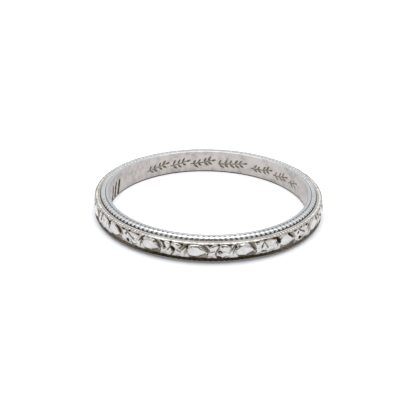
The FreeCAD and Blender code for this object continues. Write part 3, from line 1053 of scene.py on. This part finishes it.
def metal(name, tones, rough, brushing, scratch):
    """White gold. In the cuts a thin brown stain turns to dull dark tarnish, and the same two colours
    paint the shade under the belt and along the lower rims. brushing stretches fine lines along the
    hoop, and scratch is their depth in metres."""
    material = bpy.data.materials.new(name)
    material.use_nodes = True
    tree = material.node_tree
    shader = tree.nodes["Principled BSDF"]
    shader.inputs["Specular IOR Level"].default_value = 0.0
    nodes = Nodes(tree)
    position = nodes.add("ShaderNodeTexCoord").outputs["Object"]
    around = round_coordinates(nodes, position)
    clouds = nodes.noise(position, CLOUDS, 4.0)

    tone = cloudy_tone(nodes, position, around, clouds, tones)
    colour, depth, thick = stained(nodes, position, tone, tones)
    nodes.link(colour, shader.inputs["Base Color"])
    nodes.link(nodes.math("SUBTRACT", 1.0, thick), shader.inputs["Metallic"])

    stretched = nodes.add("ShaderNodeMapping")
    nodes.link(around, stretched.inputs["Vector"])
    stretched.inputs["Scale"].default_value = brushing
    lines = nodes.noise(stretched.outputs[0], 1.0, 4.0, 0.6)
    brushed = nodes.math("MULTIPLY", lines, BRUSHED_SHARE)
    clouded = nodes.math("MULTIPLY", clouds, 1 - BRUSHED_SHARE)
    polish = nodes.spread(nodes.math("ADD", brushed, clouded), *rough)
    dulled = nodes.math("ADD", polish, nodes.math("MULTIPLY", depth, CUT_DULLING), clamp=True)
    nodes.link(dulled, shader.inputs["Roughness"])
    bump = nodes.add("ShaderNodeBump")
    bump.inputs["Strength"].default_value = 1.0
    bump.inputs["Distance"].default_value = scratch
    nodes.link(lines, bump.inputs["Height"])
    nodes.link(bump.outputs[0], shader.inputs["Normal"])
    return material


def belt_metal():
    tones = {
        "clean": (0.56, 0.55, 0.535),
        "cloudy": (0.45, 0.435, 0.415),
        "stain_and_shade": (0.195, 0.170, 0.140),
        "tarnish_and_shade": (0.026, 0.017, 0.009),
    }
    return metal(
        "engraved_white_gold",
        tones,
        rough=(0.08, 0.28),
        brushing=(3000.0, 3000.0, 9000.0),
        scratch=0.000004,
    )


def wire_metal():
    tones = {
        "clean": (0.58, 0.585, 0.585),
        "cloudy": (0.48, 0.485, 0.48),
        "stain_and_shade": (0.20, 0.187, 0.16),
        "tarnish_and_shade": (0.04, 0.034, 0.022),
    }
    return metal(
        "milgrain_white_gold",
        tones,
        rough=(0.12, 0.28),
        brushing=(4000.0, 4000.0, 4000.0),
        scratch=0.000003,
    )


def sleeve_metal():
    tones = {
        "clean": (0.49, 0.455, 0.435),
        "cloudy": (0.35, 0.33, 0.31),
        "stain_and_shade": (0.20, 0.17, 0.13),
        "tarnish_and_shade": (0.05, 0.042, 0.026),
        "rim": (0.47, 0.485, 0.50),
    }
    return metal(
        "satin_white_gold",
        tones,
        rough=(0.24, 0.42),
        brushing=(300.0, 9000.0, 14000.0),
        scratch=0.000006,
    )


def solder_metal():
    tones = {
        "clean": (0.38, 0.36, 0.32),
        "cloudy": (0.28, 0.26, 0.22),
        "stain_and_shade": (0.14, 0.12, 0.09),
        "tarnish_and_shade": (0.05, 0.04, 0.025),
    }
    return metal(
        "gold_solder",
        tones,
        rough=(0.35, 0.55),
        brushing=(2500.0, 2500.0, 2500.0),
        scratch=0.000008,
    )


# ---- the pieces ----


def dress(piece, material, node):
    """Give a piece its metal, and let it stand for its CAD node."""
    piece.data.materials.append(material)
    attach(piece, "root")
    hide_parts(node)


def make_band():
    engraved, beaded, satin, solder = belt_metal(), wire_metal(), sleeve_metal(), solder_metal()
    belt, belt_seam = make_belt()
    dress(belt, engraved, "engraved_belt")
    dress(belt_seam, engraved, "belt_solder_seam")
    sleeve, sleeve_seam = make_sleeve()
    dress(sleeve, satin, "liner_sleeve")
    dress(sleeve_seam, satin, "liner_solder_seam")
    for side in ("upper", "lower"):
        wire, wire_seam = make_wire(side)
        dress(wire, beaded, side + "_milgrain_wire")
        dress(wire_seam, beaded, side + "_wire_solder_seam")
        dress(make_fillet(side), solder, side + "_solder_fillet")


# ---- floor, light and camera ----

FLOOR_HALF = 0.6
FLOOR_GAP = 0.002 * MM
FLOOR_TONE = (0.80, 0.805, 0.82, 1)
FLOOR_GLOW = (0.94, 0.97, 1.0, 1)
FLOOR_GLOW_STRENGTH = 0.13

# the sky's brightness by height, from the horizon at 0 to overhead at 1
SKY_STOPS = (
    (0.0, (0.92, 0.94, 0.97, 1)),
    (0.5, (0.95, 0.965, 0.99, 1)),
    (0.78, (1.02, 1.02, 1.02, 1)),
    (1.0, (0.60, 0.61, 0.63, 1)),
)
SKY_STRENGTH = 1.1
# The dark side of the room fades in between two cosines of the angle from its middle.
DARK_SIDE_UP = math.radians(22)
DARK_SIDE = (0.16, 0.15, 0.14)
DARK_SIDE_FADE = (0.82, 0.96)

LAMP_PLACE = (0.0, -0.025, 0.16)
LAMP_TARGET = (0.0, -0.025, 0.0)
LAMP_WIDTH = 0.2
LAMP_LENGTH = 0.23
LAMP_POWER = 0.28

CAMERA_ELEVATION = math.radians(25.763)
CAMERA_DISTANCE = 87.915 * MM
CAMERA_TARGET = (-0.025 * MM, 0.0, 0.504 * MM)
CAMERA_ROLL = math.radians(1.204)
CAMERA_LENS = 86.21


def make_floor():
    """A pale seamless floor just under the band, which glows a little like a light table."""
    half, low = FLOOR_HALF, cad_box[0][2] - FLOOR_GAP
    corners = [(-half, -half, low), (half, -half, low), (half, half, low), (-half, half, low)]
    mesh = bpy.data.meshes.new("floor")
    mesh.from_pydata(corners, [], [(0, 1, 2, 3)])
    floor = bpy.data.objects.new("floor", mesh)
    bpy.context.scene.collection.objects.link(floor)
    material = bpy.data.materials.new("pale_floor")
    material.use_nodes = True
    shader = material.node_tree.nodes["Principled BSDF"]
    shader.inputs["Base Color"].default_value = FLOOR_TONE
    shader.inputs["Emission Color"].default_value = FLOOR_GLOW
    shader.inputs["Emission Strength"].default_value = FLOOR_GLOW_STRENGTH
    shader.inputs["Roughness"].default_value = 0.9
    shader.inputs["Specular IOR Level"].default_value = 0.1
    floor.data.materials.append(material)


def aim(thing, place, target, roll=0.0):
    """Put a light or camera at a place, looking at a target."""
    look = (Vector(target) - Vector(place)).to_track_quat("-Z", "Y").to_matrix().to_4x4()
    thing.matrix_world = Matrix.Translation(place) @ look @ Matrix.Rotation(roll, 4, "Z")


def make_softbox():
    """A broad soft light overhead, a little to the front."""
    light = bpy.data.lights.new("overhead", "AREA")
    light.shape = "RECTANGLE"
    light.size = LAMP_WIDTH
    light.size_y = LAMP_LENGTH
    light.energy = LAMP_POWER
    lamp = bpy.data.objects.new("overhead", light)
    bpy.context.scene.collection.objects.link(lamp)
    aim(lamp, LAMP_PLACE, LAMP_TARGET)


def sky_ramp(nodes, height):
    ramp = nodes.add("ShaderNodeValToRGB")
    ramp.color_ramp.interpolation = "EASE"
    stops = ramp.color_ramp.elements
    stops[0].position, stops[0].color = SKY_STOPS[0]
    stops[1].position, stops[1].color = SKY_STOPS[-1]
    for position, colour in SKY_STOPS[1:-1]:
        stops.new(position).color = colour
    nodes.link(height, ramp.inputs[0])
    return ramp.outputs[0]


def make_sky():
    """A pale studio room, greyer overhead, and dark on the side that the band's front faces."""
    world = bpy.data.worlds.new("studio")
    bpy.context.scene.world = world
    world.use_nodes = True
    nodes = Nodes(world.node_tree)
    direction = nodes.add("ShaderNodeTexCoord").outputs["Generated"]
    ramp = sky_ramp(nodes, nodes.parts(direction)[2])
    turned = nodes.add("ShaderNodeVectorMath", operation="DOT_PRODUCT")
    nodes.link(direction, turned.inputs[0])
    turned.inputs[1].default_value = (0, -math.cos(DARK_SIDE_UP), math.sin(DARK_SIDE_UP))
    side = nodes.step(turned.outputs["Value"], *DARK_SIDE_FADE, shape="SMOOTHSTEP")
    background = world.node_tree.nodes["Background"]
    nodes.link(nodes.mix(side, ramp, DARK_SIDE), background.inputs["Color"])
    background.inputs["Strength"].default_value = SKY_STRENGTH


def make_camera():
    camera = bpy.data.cameras.new("camera")
    camera.lens = CAMERA_LENS
    camera.sensor_width = 36.0
    camera.clip_start = 0.001
    camera.clip_end = 10.0
    eye = bpy.data.objects.new("camera", camera)
    bpy.context.scene.collection.objects.link(eye)
    back = -CAMERA_DISTANCE * math.cos(CAMERA_ELEVATION)
    place = (0.0, back, CAMERA_DISTANCE * math.sin(CAMERA_ELEVATION))
    aim(eye, place, CAMERA_TARGET, CAMERA_ROLL)
    bpy.context.scene.camera = eye


make_band()
make_floor()
make_sky()
make_softbox()
make_camera()
bpy.context.scene.view_settings.view_transform = "Standard"
